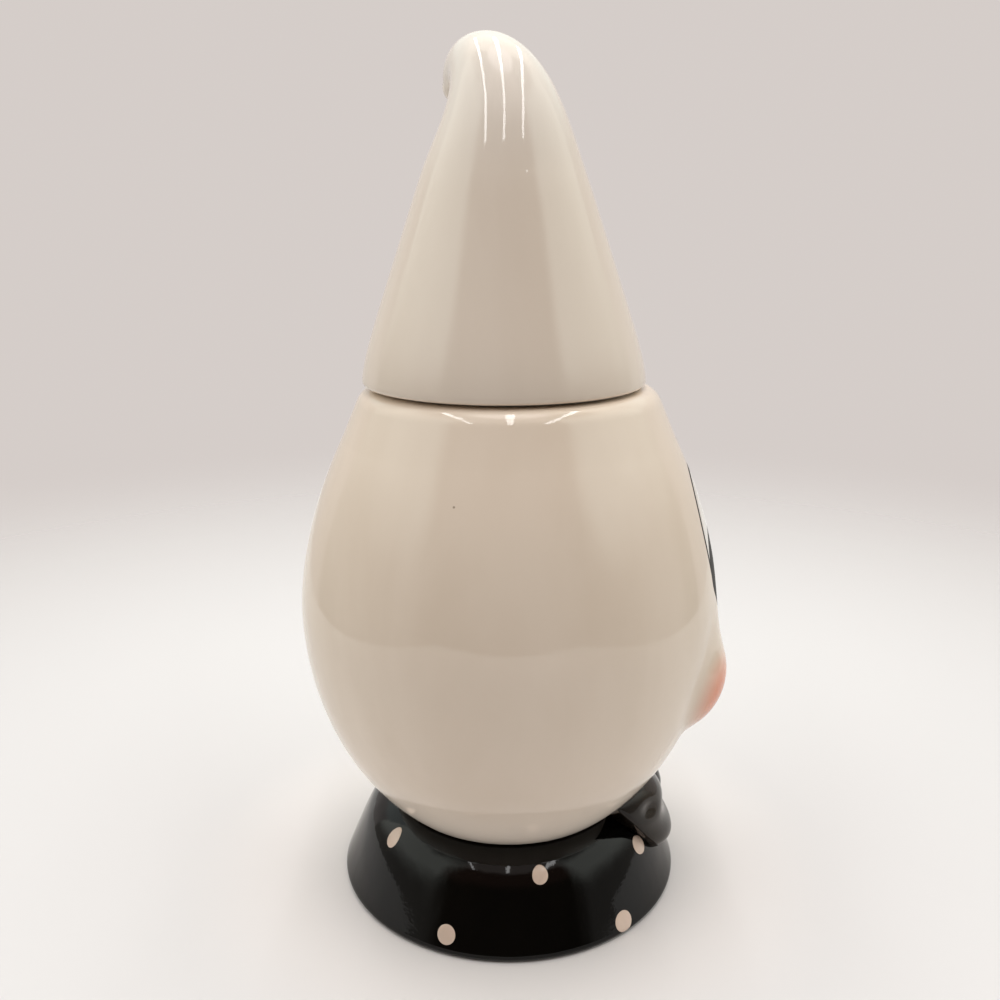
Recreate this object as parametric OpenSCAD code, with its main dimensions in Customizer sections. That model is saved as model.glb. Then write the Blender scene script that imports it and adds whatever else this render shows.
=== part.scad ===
// Ceramic ghost canister: a white head-shaped jar on a black flared collar with a moulded bow,
// and a pointed lid with a curled tip that plugs into the mouth through a soft seal.
// Millimetres. The origin is on the jar's axis at the table, +Z is up and the face looks along -Y.

/* [Head] */
// Widest diameter of the head
head_d = 145; // [125:1:165]
// Height of the widest line above the table
widest_z = 104.5; // [98:0.5:115]
// Height of the crease between collar and head
neck_z = 32.5; // [30:0.5:38]
// Diameter at that crease
neck_d = 87; // [85:0.5:94]
// Height of the jar's rim
rim_z = 180; // [165:1:200]
// Diameter that the shoulder would reach at the rim's height
shoulder_d = 94.5; // [90:0.5:104]
// Diameter of the upright lip that ends the shoulder
rim_d = 98.6; // [95:0.2:106]
// Fullness of the shoulder, where 2 is a parabola
shoulder_swell = 1.78; // [1.5:0.02:2.2]
// Rounding of the rim's outer edge
rim_round = 2.6; // [1:0.2:3]
// Thickness of the jar's wall
wall = 5; // [4:0.5:6.5]

/* [Mouth] */
// Diameter of the mouth
mouth_d = 78.4; // [72:0.2:80]
// Straight length of the mouth
mouth_len = 12; // [9:1:16]
// Height in which the underside of the mouth runs out to the jar's wall
mouth_flare = 7; // [4:1:12]

/* [Cheeks] */
// Diameter of the ball that swells the cheek
cheek_ball_d = 47; // [40:1:52]
// How far the ball stands out of the head
cheek_proud = 6.7; // [4:0.1:9]
// Height of the ball's centre
cheek_z = 84; // [76:1:92]
// Angle of each cheek from the middle of the face
cheek_angle = 29; // [25:1:36]
// Lean of the fairing that runs from the ball up into the face
cheek_fairing = 15; // [10:1:25]

/* [Collar] */
// Diameter of the collar near the table
collar_d = 123; // [114:1:136]
// Diameter that the flare would reach at the crease, without its rounded shoulder
flare_d = 101; // [96:0.5:106]
// Tightness of that shoulder, where 1 is a straight cone
shoulder_turn = 8; // [4:0.5:14]
// Rounding of the bottom edge
foot_round = 2; // [1.5:0.5:5]
// Width of the ring that stands on the table
foot_w = 9; // [6:1:14]
// Depth of the recess inside the foot ring
foot_recess = 2; // [1:0.5:3]
// Thickness of the floor
floor_t = 5; // [4:0.5:7]
// Diameter of the passage between the head and the collar
passage_d = 75; // [70:1:76]
// Length of the head's spigot in the collar
spigot_len = 4; // [3:0.5:6]
// Thickness of the spigot's wall
spigot_t = 2.75; // [2:0.25:3]
// Joint gap between the spigot and the collar
joint_gap = 0.15; // [0.1:0.05:0.3]

/* [Bow] */
// Half-angle of the knot, seen from above
knot_angle = 8.5; // [6:0.5:12]
// Angle of a loop's outer end from the middle of the face, half way up
loop_angle = 46; // [36:1:54]
// Angle by which that end leans outwards over its height
loop_lean = 20; // [0:1:28]
// Reach of the loops below the crease
bow_drop = 17; // [14:0.5:20]
// Reach of the loops above the crease
bow_rise = 9; // [6:0.5:12]
// Height of the knot as a share of the loops' height
knot_pinch = 0.62; // [0.5:0.02:0.8]
// How far the loops swell in front of their edges
loop_proud = 6.2; // [4:0.2:9]
// How far the knot swells in front of its edges
knot_proud = 8.5; // [7:0.5:13]
// Share of the swell that is lost towards the loops' upper edge
loop_thin = 0.7; // [0:0.05:0.7]
// Folds pressed into each loop
pleats = 1.5; // [1:0.5:3]
// Depth of the folds as a share of the swell
pleat_depth = 0.3; // [0:0.02:0.5]
// Depth of the pocket beside a loop's outer end, as a share of the swell
pocket_depth = 0.5; // [0:0.05:0.7]
// Gap between the bow and what it is stuck to
bow_gap = 0.12; // [0.08:0.01:0.3]

/* [Lid] */
// Diameter of the lid at its foot
lid_d = 94.6; // [90:0.2:104]
// How far the lid's cone stands behind the axis of its flange
lid_set_back = 1.7; // [0:0.1:2.5]
// Rounding of the lid's bottom edge
lid_round = 1.5; // [0.5:0.25:2.5]
// Height in which the wall turns from upright to the cone's lean
skirt_h = 6.6; // [4:0.2:14]
// Radius lost per millimetre of height on the cone
lid_taper = 0.347; // [0.31:0.001:0.37]
// Height above the lid's foot at which the tip starts to curl
curl_h = 67; // [60:1:74]
// Angle through which the tip curls
curl_turn = 140; // [100:5:160]
// Length in which the curl tightens
curl_ease = 25; // [15:1:35]
// Heading of the curl from +X towards +Y
curl_heading = 20; // [-180:1:180]
// Open radius left inside the curl
curl_grip = 2.5; // [2:0.5:6]
// Radius lost per millimetre along the curled tip
tip_taper = 0.4; // [0.36:0.01:0.44]
// Diameter of the tip's round end
tip_d = 10; // [8:1:16]
// Thickness of the lid's wall
lid_wall = 5; // [4:0.5:6.5]
// Length of the flange that plugs into the mouth
flange_len = 12; // [9:0.5:16]
// Thickness of the flange
flange_t = 4; // [3:0.5:6]
// Height of the bead that keeps the seal on the flange
bead_h = 2; // [1.5:0.25:3]
// How far that bead stands out
bead_proud = 1.2; // [0.6:0.1:1.4]

/* [Seal] */
// Thickness of the washer between the lid and the rim
washer_t = 1; // [0.6:0.1:2]
// Reach of the washer past the mouth's edge
washer_reach = 3.2; // [2:0.2:4]
// Thickness of the sleeve round the flange
sleeve_t = 1.4; // [1:0.1:2]
// Number of lips round the sleeve
lip_count = 3; // [2:1:4]
// How far the lips stand out of the sleeve
lip_proud = 0.7; // [0.4:0.1:1.2]
// Gap between the lips and the mouth
lip_clear = 0.3; // [0.2:0.05:0.5]
// Gap between the sleeve and the flange
sleeve_clear = 0.2; // [0.15:0.05:0.3]

/* [Hidden] */
$fn = 96;

GLAZE_WHITE = "#d9cdbd";
GLAZE_BLACK = "#1a1817";
SILICONE = "#b9b4ab";

// Numbers of straight steps in the profiles, the loops and the curl
PROFILE_STEPS = 32;
COLLAR_STEPS = 24;
LID_STEPS = 20;
ARC_STEPS = 6;
LOOP_STATIONS = 18;
KNOT_STATIONS = 10;
BOW_STEPS = 22;
CURL_SIDES = 44;
CURL_STEP = 2;
END_STEPS = 5;
// Places on a loop, as shares of its height and then its length: the lower lobe, and the pocket by its end
LOBE_AT = 0.12;
POCKET_AT = 0.74;
POCKET_SPAN = 0.11;
POCKET_STATION = 0.74;
POCKET_REACH = 0.13;
// Shares of a loop's length at which it is tallest and at which it swells most
TALLEST_AT = 0.6;
FULLEST_AT = 0.5;
// Shares of a loop's height and swell that are lost at its outer end, and of its swell by the knot
END_DROP = 0.28;
END_FLAT = 0.6;
KNOT_FLAT = 0.28;
// Share of the knot's swell that is lost at its sides, as a square
KNOT_ROUND = 0.6;
// Depth of the folds beside the knot, as a multiple of their depth half way along
FOLD_GATHER = 1.5;
// Height of the cheek's fairing as a multiple of the ball's radius
FAIRING_RISE = 1.7;
// Shares of a lip's pitch: where it starts, comes to its edge, leaves it and ends
LIP_START = 0.25;
LIP_EDGE = 0.55;
LIP_LEAVE = 0.67;
LIP_END = 0.75;
// Last angle of a round end's rings, short of its pole
END_ANGLE = 80;
// Extra reach of a cut past the face that it opens
CUT = 1;

head_r = head_d / 2;
neck_r = neck_d / 2;
rim_r = rim_d / 2;
mouth_r = mouth_d / 2;
passage_r = passage_d / 2;
collar_r = collar_d / 2;
flare_r = flare_d / 2;
lid_r = lid_d / 2;
cheek_r = cheek_ball_d / 2;
spigot_r = passage_r + spigot_t;
// Half-height of the ellipse below the widest line that passes through the neck
belly_h = (widest_z - neck_z) / sqrt(1 - pow(neck_r / head_r, 2));
mouth_bottom_z = rim_z - mouth_len;
floor_z = foot_recess + floor_t;
foot_inner_r = collar_r - foot_round - foot_w;
rebate_z = neck_z - spigot_len - joint_gap;

lid_z = rim_z + washer_t;
lip_r = mouth_r - lip_clear;
sleeve_r = lip_r - lip_proud;
sleeve_inner_r = sleeve_r - sleeve_t;
flange_r = sleeve_inner_r - sleeve_clear;
flange_inner_r = flange_r - flange_t;
flange_z = lid_z - flange_len;
sleeve_z = flange_z + bead_h + sleeve_clear;

// Outer radius of the head: an ellipse below the widest line, a power curve above it
function head_radius(z) = z < widest_z
    ? head_r * sqrt(1 - pow((widest_z - z) / belly_h, 2))
    : head_r - (head_r - shoulder_d / 2) * pow((z - widest_z) / (rim_z - widest_z), shoulder_swell);

// Outer radius of the collar above its rounded bottom edge: a straight flare whose shoulder turns in
function collar_radius(z) =
    let (t = max(0, z - foot_round) / (neck_z - foot_round))
        collar_r - (collar_r - flare_r) * t - (flare_r - neck_r) * pow(t, shoulder_turn);

// Outer radius of the lid at a height above its foot, before the tip curls
function lid_radius(h) = lid_r - lid_taper * (h - skirt_h * (1 - exp(-h / skirt_h)));

// Radius of the curled tip at a length along its centre line, measured on from the cone's height
function tip_radius(s) = lid_radius(curl_h) - tip_taper * (s - curl_h);

// Radius of the surface that the bow is stuck to
function bed_radius(z) = (z < neck_z ? collar_radius(z) : head_radius(z)) + bow_gap;

// Point of a profile moved inwards, square to the wall, by a thickness
function inset(r, z, slope, t) =
    [r - t / sqrt(1 + slope * slope), z + t * slope / sqrt(1 + slope * slope)];

// Slopes of the three profiles, as radius gained per millimetre of height
NUDGE = 0.01;
function head_slope(z) = (head_radius(z + NUDGE) - head_radius(z - NUDGE)) / (2 * NUDGE);
function collar_slope(z) = (collar_radius(z + NUDGE) - collar_radius(z - NUDGE)) / (2 * NUDGE);
function lid_slope(h) = -lid_taper * (1 - exp(-h / skirt_h));

// Evenly spaced values from a to b, both ends included
function spread(a, b, steps) = [for (i = [0 : steps]) a + (b - a) * i / steps];

// Points of an arc about a centre in the profile's plane
function arc(centre, r, from, to) =
    [for (a = spread(from, to, ARC_STEPS)) centre + r * [cos(a), sin(a)]];

head_outline = concat(
    [[0, neck_z]],
    [
        for (z = spread(neck_z, rim_z - rim_round, PROFILE_STEPS))
            if (z < widest_z || head_radius(z) > rim_r + NUDGE) [head_radius(z), z]
    ],
    arc([rim_r - rim_round, rim_z - rim_round], rim_round, 0, 90),
    [[0, rim_z]]
);

head_wall = [
    for (z = spread(neck_z, rim_z, PROFILE_STEPS)) inset(head_radius(z), z, head_slope(z), wall)
];

head_cavity = concat(
    [[0, neck_z - spigot_len - CUT], [passage_r, neck_z - spigot_len - CUT], [passage_r, neck_z]],
    [for (p = head_wall) if (p[0] > passage_r + NUDGE && p[1] < mouth_bottom_z - mouth_flare) p],
    [[mouth_r, mouth_bottom_z], [mouth_r, rim_z + CUT], [0, rim_z + CUT]]
);

collar_outline = concat(
    [[0, 0]],
    arc([collar_r - foot_round, foot_round], foot_round, -90, 0),
    [for (z = spread(foot_round, neck_z, COLLAR_STEPS)) if (z > foot_round) [collar_radius(z), z]],
    [[0, neck_z]]
);

// The wall thickens under the rebate, where the spigot stands
collar_shelf_z = rebate_z - wall / 2;
collar_wall = [
    for (z = spread(foot_round, neck_z, COLLAR_STEPS))
        inset(collar_radius(z), z, collar_slope(z + NUDGE), wall)
];
collar_floor_r = collar_radius(floor_z) - wall * sqrt(1 + pow(collar_slope(floor_z + wall), 2));

collar_cavity = concat(
    [[0, floor_z], [collar_floor_r, floor_z]],
    [for (p = collar_wall) if (p[1] > floor_z + NUDGE && p[1] < collar_shelf_z - wall) p],
    [
        [passage_r, collar_shelf_z],
        [passage_r, rebate_z],
        [spigot_r + joint_gap, rebate_z],
        [spigot_r + joint_gap, neck_z + CUT],
        [0, neck_z + CUT]
    ]
);

// Ball of a cheek with a cone that leaves it tangent and runs up into the face
cheek_lift = cheek_r * sin(cheek_fairing);
cheek_neck = cheek_r * cos(cheek_fairing);
cheek_rise = FAIRING_RISE * cheek_r;
cheek_outline = concat(
    [for (a = spread(-90, cheek_fairing, 2 * ARC_STEPS)) cheek_r * [cos(a), sin(a)]],
    [[cheek_neck - (cheek_rise - cheek_lift) * tan(cheek_fairing), cheek_rise], [0, cheek_rise]]
);

module cheek(side) {
    rotate([0, 0, side * cheek_angle])
        translate([0, -(head_radius(cheek_z) + cheek_proud - cheek_r), cheek_z])
            rotate_extrude()
                polygon(cheek_outline);
}

module head_shell() {
    color(GLAZE_WHITE)
        difference() {
            union() {
                rotate_extrude()
                    polygon(head_outline);
                translate([0, 0, neck_z - spigot_len])
                    cylinder(r = spigot_r, h = spigot_len + CUT);
                cheek(-1);
                cheek(1);
            }
            rotate_extrude()
                polygon(head_cavity);
        }
}

module collar_base() {
    color(GLAZE_BLACK)
        difference() {
            rotate_extrude()
                polygon(collar_outline);
            rotate_extrude()
                polygon(collar_cavity);
            translate([0, 0, -CUT])
                cylinder(r = foot_inner_r, h = foot_recess + CUT);
        }
}

// Solid skinned over a row of closed sections. All have the same even number of points,
// and the two ends are closed by strips between the points that face each other.
module loft(sections) {
    n = len(sections[0]);
    half = n / 2;
    last = len(sections) - 1;
    points = [for (s = sections) each s];
    sides = [
        for (i = [0 : last - 1], j = [0 : n - 1])
            let (k = (j + 1) % n)
                each [
                    [i * n + j, i * n + k, (i + 1) * n + k],
                    [i * n + j, (i + 1) * n + k, (i + 1) * n + j]
                ]
    ];
    cap = [
        for (j = [0 : half - 1])
            each concat(
                j < half - 1 ? [[j, j + 1, n - 1 - j]] : [],
                j > 0 ? [[j, n - 1 - j, n - j]] : []
            )
    ];
    first_cap = [for (t = cap) [t[2], t[1], t[0]]];
    last_cap = [for (t = cap) [for (k = t) last * n + k]];
    polyhedron(points, concat(sides, first_cap, last_cap));
}

// Swell across the bow's height, blunt at both edges
function swell(u) = sqrt(1 - pow(abs(2 * u - 1), 4));

// Closed section of the bow at an angle from the face's middle, leaning outwards with its height.
// The front swells, thins towards the top and is pleated, and the back lies on the collar and the head.
function bow_section(angle, lean, low, high, proud, thin, depth, pocket) =
    let (
        low_r = bed_radius(low),
        high_r = bed_radius(high),
        front = [
            for (u = spread(0, 1, BOW_STEPS))
                let (
                    fold = depth * (1 - cos(360 * pleats * (u - LOBE_AT))) / 2,
                    hollow = pocket * exp(-pow((u - POCKET_AT) / POCKET_SPAN, 2))
                )
                    [
                        low_r + (high_r - low_r) * u
                            + proud * swell(u) * (1 - thin * u * u) * (1 - fold - hollow),
                        u
                    ]
        ],
        back = [
            for (u = spread(1, 0, BOW_STEPS))
                if (u > 0 && u < 1) [bed_radius(low + (high - low) * u), u]
        ]
    )
    [
        for (p = concat(front, back))
            let (a = angle + lean * (p[1] - 0.5))
                [p[0] * sin(a), -p[0] * cos(a), low + (high - low) * p[1]]
    ];

knot_low = neck_z - bow_drop * knot_pinch;
knot_high = neck_z + bow_rise * knot_pinch;
loop_start = knot_angle + bow_gap / neck_r * 180 / PI;

// Height, swell, fold depth and pocket depth of a loop, from the knot at 0 to its outer end at 1
function past(t, from) = max(0, t - from) / (1 - from);
function loop_flare(t) =
    sin(90 * min(1, t / TALLEST_AT)) * (1 - END_DROP * pow(past(t, TALLEST_AT), 2));
function loop_swell(t) =
    1 - KNOT_FLAT * (1 - sin(90 * min(1, t / FULLEST_AT))) - END_FLAT * pow(past(t, FULLEST_AT), 2);
function loop_fold(t) = pleat_depth * (FOLD_GATHER - t);
function loop_pocket(t) = pocket_depth * exp(-pow((t - POCKET_STATION) / POCKET_REACH, 2));

module bow_loop() {
    loft([
        for (t = spread(0, 1, LOOP_STATIONS))
            bow_section(
                loop_start + (loop_angle - loop_start) * t,
                loop_lean * t,
                knot_low + (neck_z - bow_drop - knot_low) * loop_flare(t),
                knot_high + (neck_z + bow_rise - knot_high) * loop_flare(t),
                loop_proud * loop_swell(t),
                loop_thin * t,
                loop_fold(t),
                loop_pocket(t)
            )
    ]);
}

module bow_knot() {
    color(GLAZE_BLACK)
        loft([
            for (a = spread(-knot_angle, knot_angle, KNOT_STATIONS))
                bow_section(
                    a,
                    0,
                    knot_low,
                    knot_high,
                    knot_proud * sqrt(1 - KNOT_ROUND * pow(a / knot_angle, 2)),
                    0,
                    0,
                    0
                )
        ]);
}

module bow_loop_right() {
    color(GLAZE_BLACK)
        mirror([1, 0, 0])
            bow_loop();
}

module bow_loop_left() {
    color(GLAZE_BLACK)
        bow_loop();
}

lid_outline = concat(
    [[0, 0]],
    arc([lid_r - lid_round, lid_round], lid_round, -90, 0),
    [for (h = spread(lid_round, curl_h, LID_STEPS)) if (h > lid_round) [lid_radius(h), h]],
    [[0, curl_h]]
);

// The hollow follows the wall up to a domed end, a wall's thickness below the curled tip
hollow_top_h = curl_h - 2 * lid_wall;
hollow_end = inset(lid_radius(hollow_top_h), hollow_top_h, lid_slope(hollow_top_h), lid_wall);
dome_h = curl_h - lid_wall - hollow_end[1];
lid_hollow = concat(
    [[0, lid_wall]],
    [
        for (h = spread(lid_wall, hollow_top_h, LID_STEPS))
            let (p = inset(lid_radius(h), h, lid_slope(h), lid_wall))
                if (p[1] > lid_wall + NUDGE && h < hollow_top_h) p
    ],
    [
        for (a = spread(0, 90, ARC_STEPS))
            [a < 90 ? hollow_end[0] * cos(a) : 0, hollow_end[1] + dome_h * sin(a)]
    ]
);

// Turn of the curled tip per millimetre of its length, in radians
function curl_rate(s, r) = min(1, (s - curl_h + CURL_STEP) / curl_ease) / (r + curl_grip);

// Stations of the curled tip: distance along the curl's heading, height, lean and radius
function curl_stations(s, u, h, lean) =
    let (r = tip_radius(s))
        r <= tip_d / 2
            ? [[u, h, lean, tip_d / 2]]
            : concat(
                [[u, h, lean, r]],
                curl_stations(
                    s + CURL_STEP,
                    u + CURL_STEP * sin(lean),
                    h + CURL_STEP * cos(lean),
                    lean >= curl_turn ? lean : lean + curl_rate(s, r) * CURL_STEP * 180 / PI
                )
            );

// Ring of points round a station of the curl
function curl_ring(u, h, lean, r) = [
    for (j = [0 : CURL_SIDES - 1])
        let (a = -360 * j / CURL_SIDES)
            [u + r * cos(a) * cos(lean), r * sin(a), h - r * cos(a) * sin(lean)]
];

module lid_curl() {
    stations = curl_stations(curl_h, 0, curl_h, 0);
    end = stations[len(stations) - 1];
    round_end = [
        for (a = spread(0, END_ANGLE, END_STEPS))
            if (a > 0)
                [
                    end[0] + end[3] * sin(a) * sin(end[2]),
                    end[1] + end[3] * sin(a) * cos(end[2]),
                    end[2],
                    end[3] * cos(a)
                ]
    ];
    color(GLAZE_WHITE)
        translate([0, lid_set_back, lid_z])
            rotate([0, 0, curl_heading])
                loft([for (s = concat(stations, round_end)) curl_ring(s[0], s[1], s[2], s[3])]);
}

module lid_flange() {
    translate([0, 0, -flange_len])
        cylinder(r = flange_r, h = flange_len + CUT);
    translate([0, 0, -flange_len])
        cylinder(r = flange_r + bead_proud, h = bead_h);
}

module lid_shell() {
    color(GLAZE_WHITE)
        translate([0, 0, lid_z])
            difference() {
                union() {
                    translate([0, lid_set_back, 0])
                        rotate_extrude()
                            polygon(lid_outline);
                    lid_flange();
                }
                translate([0, lid_set_back, 0])
                    rotate_extrude()
                        polygon(lid_hollow);
                translate([0, 0, -flange_len - CUT])
                    cylinder(r = flange_inner_r, h = flange_len + lid_wall + CUT);
            }
}

// Lips at even heights on the sleeve, each a low ridge
lip_pitch = (rim_z - sleeve_z) / (lip_count + LIP_START);
seal_outline = concat(
    [[sleeve_inner_r, sleeve_z], [sleeve_r, sleeve_z]],
    [
        for (i = [0 : lip_count - 1])
            let (z = sleeve_z + lip_pitch * i)
                each [
                    [sleeve_r, z + lip_pitch * LIP_START],
                    [lip_r, z + lip_pitch * LIP_EDGE],
                    [lip_r, z + lip_pitch * LIP_LEAVE],
                    [sleeve_r, z + lip_pitch * LIP_END]
                ]
    ],
    [
        [sleeve_r, rim_z],
        [mouth_r + washer_reach, rim_z],
        [mouth_r + washer_reach, lid_z],
        [sleeve_inner_r, lid_z]
    ]
);

module lid_seal() {
    color(SILICONE)
        rotate_extrude()
            polygon(seal_outline);
}

head_shell();
collar_base();
bow_knot();
bow_loop_right();
bow_loop_left();
lid_shell();
lid_curl();
lid_seal();
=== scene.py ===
"""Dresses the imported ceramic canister: a glazed ghost-shaped jar with a curled lid, dotted collar and bow.

Sizes are in millimetres, as in the part's own source, and a mesh is brought to metres when it is made. The
table is at z = 0, the jar's axis is Z, the face looks along -Y and the figure's own left is +X. A bearing is
an angle round the axis, in degrees from the face towards +X.
"""
import logging
import math
from collections.abc import Callable, Sequence
from dataclasses import dataclass
from enum import Enum
from typing import Any, NamedTuple

import bmesh
import bpy
import numpy as np
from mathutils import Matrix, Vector


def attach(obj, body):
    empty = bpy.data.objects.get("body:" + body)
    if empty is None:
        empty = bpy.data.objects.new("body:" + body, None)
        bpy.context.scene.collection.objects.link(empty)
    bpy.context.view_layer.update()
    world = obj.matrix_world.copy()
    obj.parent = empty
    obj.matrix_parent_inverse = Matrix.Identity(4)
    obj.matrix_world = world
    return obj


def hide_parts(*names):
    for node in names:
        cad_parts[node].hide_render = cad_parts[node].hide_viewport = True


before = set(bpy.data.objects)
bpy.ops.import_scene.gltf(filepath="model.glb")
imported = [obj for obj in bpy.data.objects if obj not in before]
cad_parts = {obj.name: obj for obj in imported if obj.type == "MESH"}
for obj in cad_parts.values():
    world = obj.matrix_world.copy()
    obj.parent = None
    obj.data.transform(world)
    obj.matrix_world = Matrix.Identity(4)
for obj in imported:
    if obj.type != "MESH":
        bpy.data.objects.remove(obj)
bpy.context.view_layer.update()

MM = 0.001
OUTSIDE = "outside"
Colour = tuple[float, float, float]
Span = tuple[float, float]
Outline = list[tuple[float, float]]
log = logging.getLogger("canister")


def maths(operation: str, swapped: bool = False) -> "Callable[[Sock, Sock | float], Sock]":
    """Makes an operator that adds one Math node.

    Args:
        operation: The Math node's operation.
        swapped: True for the reflected form, with a number before the socket.

    Returns:
        The operator, as a method of Sock.
    """

    def apply(self: "Sock", other: "Sock | float") -> "Sock":
        """Adds the node and gives its result."""
        return self.graph.math(operation, *((other, self) if swapped else (self, other)))

    return apply


class Sock:
    """A node's output in an expression: each operator on it adds a Math node to the same tree."""

    __add__ = __radd__ = maths("ADD")
    __mul__ = __rmul__ = maths("MULTIPLY")
    __sub__, __rsub__ = maths("SUBTRACT"), maths("SUBTRACT", swapped=True)
    __truediv__, __rtruediv__ = maths("DIVIDE"), maths("DIVIDE", swapped=True)
    __pow__ = maths("POWER")

    def __init__(self, graph: "Graph", socket: bpy.types.NodeSocket) -> None:
        """Wraps one output socket of a graph."""
        self.graph = graph
        self.socket = socket

    def __neg__(self) -> "Sock":
        """Changes the sign."""
        return self * -1.0

    def __abs__(self) -> "Sock":
        """Takes the size without the sign."""
        return self.graph.math("ABSOLUTE", self)


class Made:
    """A node that a graph has added, whose outputs are taken by name or index."""

    def __init__(self, graph: "Graph", node: bpy.types.Node) -> None:
        """Wraps one node of a graph."""
        self.graph = graph
        self.node = node

    def __getitem__(self, key: str | int) -> Sock:
        """Gives one output for use in expressions."""
        return Sock(self.graph, self.node.outputs[key])


class Graph:
    """Adds nodes to one shader or geometry tree."""

    def __init__(self, tree: bpy.types.NodeTree) -> None:
        """Starts on an emptied tree."""
        self.tree = tree
        tree.nodes.clear()

    def node(self, kind: str, sockets: dict[str | int, Any] | None = None, **settings: Any) -> Made:
        """Adds a node.

        Args:
            kind: The node's type.
            sockets: Values or links for its inputs, by name or index.
            settings: The node's own settings, which are set first.

        Returns:
            The node, with its outputs at hand.
        """
        made = self.tree.nodes.new(kind)
        for key, value in settings.items():
            setattr(made, key, value)
        for key, value in (sockets or {}).items():
            self.feed(made.inputs[key], value)
        return Made(self, made)

    def feed(self, socket: bpy.types.NodeSocket, value: Any) -> None:
        """Links an input to another socket, or gives it a plain value.

        Args:
            socket: The input.
            value: What it is given: a socket, number, colour, vector, name or material.
        """
        if isinstance(value, Sock):
            self.tree.links.new(value.socket, socket)
        elif socket.type == "RGBA":
            socket.default_value = (*value, 1.0)
        else:
            socket.default_value = value

    def math(self, operation: str, *values: Sock | float) -> Sock:
        """Adds a Math node on one or more values."""
        return self.node("ShaderNodeMath", dict(enumerate(values)), operation=operation)[0]

    def mix(self, factor: Sock | float, low: Sock | Colour, high: Sock | Colour) -> Sock:
        """Mixes two colours by a factor."""
        return self.node("ShaderNodeMix", {0: factor, 6: low, 7: high}, data_type="RGBA")[2]

    def ease(self, value: Sock, start: float, end: float) -> Sock:
        """Rises smoothly from 0 to 1.

        Args:
            value: What is followed.
            start: Where the rise starts.
            end: Where it ends, which may be the lower number.

        Returns:
            The share of the rise.
        """
        low, high = min(start, end), max(start, end)
        to_low, to_high = (0.0, 1.0) if start < end else (1.0, 0.0)
        sockets = {"Value": value, "From Min": low, "From Max": high, "To Min": to_low, "To Max": to_high}
        return self.node("ShaderNodeMapRange", sockets, interpolation_type="SMOOTHSTEP")["Result"]

    def noise(
        self, at: Sock, scale: float, detail: float = 1.0, warp: float = 0.0, stretch: float = 1.0
    ) -> Sock:
        """Gives cloudy values about 0.5 at a point.

        Args:
            at: The point.
            scale: Clouds per metre.
            detail: How many finer layers there are.
            warp: How far the clouds are pulled out of shape.
            stretch: Scale along Z, where a small one gives long upright runs.

        Returns:
            The cloud's value.
        """
        if stretch != 1.0:
            at = self.node("ShaderNodeMapping", {"Vector": at, "Scale": (1.0, 1.0, stretch)})["Vector"]
        sockets = {"Vector": at, "Scale": scale, "Detail": detail, "Distortion": warp}
        return self.node("ShaderNodeTexNoise", sockets)["Fac"]

    def reach(self, across: Sock, up: Sock) -> Sock:
        """Gives the length of two steps at right angles."""
        return self.math("SQRT", across * across + up * up)

    def along(self, at: Sock, way: Sequence[float]) -> Sock:
        """Gives how far a point lies along a direction."""
        return self.node("ShaderNodeVectorMath", {0: at, 1: way}, operation="DOT_PRODUCT")["Value"]

    def bumped(self, height: Sock) -> Sock:
        """Gives the normal of a surface that is raised by a height in millimetres."""
        return self.node("ShaderNodeBump", {"Strength": 1.0, "Distance": MM, "Height": height})["Normal"]

    def parts(self, vector: Sock) -> tuple[Sock, Sock, Sock]:
        """Splits a vector into its three numbers."""
        made = self.node("ShaderNodeSeparateXYZ", {0: vector})
        return made[0], made[1], made[2]

    def joined(self, x: Sock | float, y: Sock | float, z: Sock | float) -> Sock:
        """Joins three numbers into a vector."""
        return self.node("ShaderNodeCombineXYZ", {0: x, 1: y, 2: z})[0]


def new_material(name: str) -> tuple[bpy.types.Material, Graph, Sock]:
    """Starts a material.

    Args:
        name: The material's name.

    Returns:
        The material, its emptied graph and the point on the piece.
    """
    material = bpy.data.materials.new(name)
    material.use_nodes = True
    graph = Graph(material.node_tree)
    return material, graph, graph.node("ShaderNodeTexCoord")["Object"]


def new_object(name: str, data: bpy.types.ID) -> bpy.types.Object:
    """Puts a new object into the scene, at the origin.

    Args:
        name: The object's name.
        data: Its mesh, lamp or camera.

    Returns:
        The object.
    """
    made = bpy.data.objects.new(name, data)
    bpy.context.collection.objects.link(made)
    return made


class Side(Enum):
    """The figure's own sides."""

    RIGHT = -1
    LEFT = 1


class Body(Enum):
    """What moves as one."""

    JAR = "jar"
    SEAL = "seal"
    LID = "lid"


class Slot(Enum):
    """The finishes that the part's record names."""

    WHITE = "white_glaze"
    LID = "lid_glaze"
    BLACK = "black_glaze"
    SEAL = "silicone"


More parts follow.
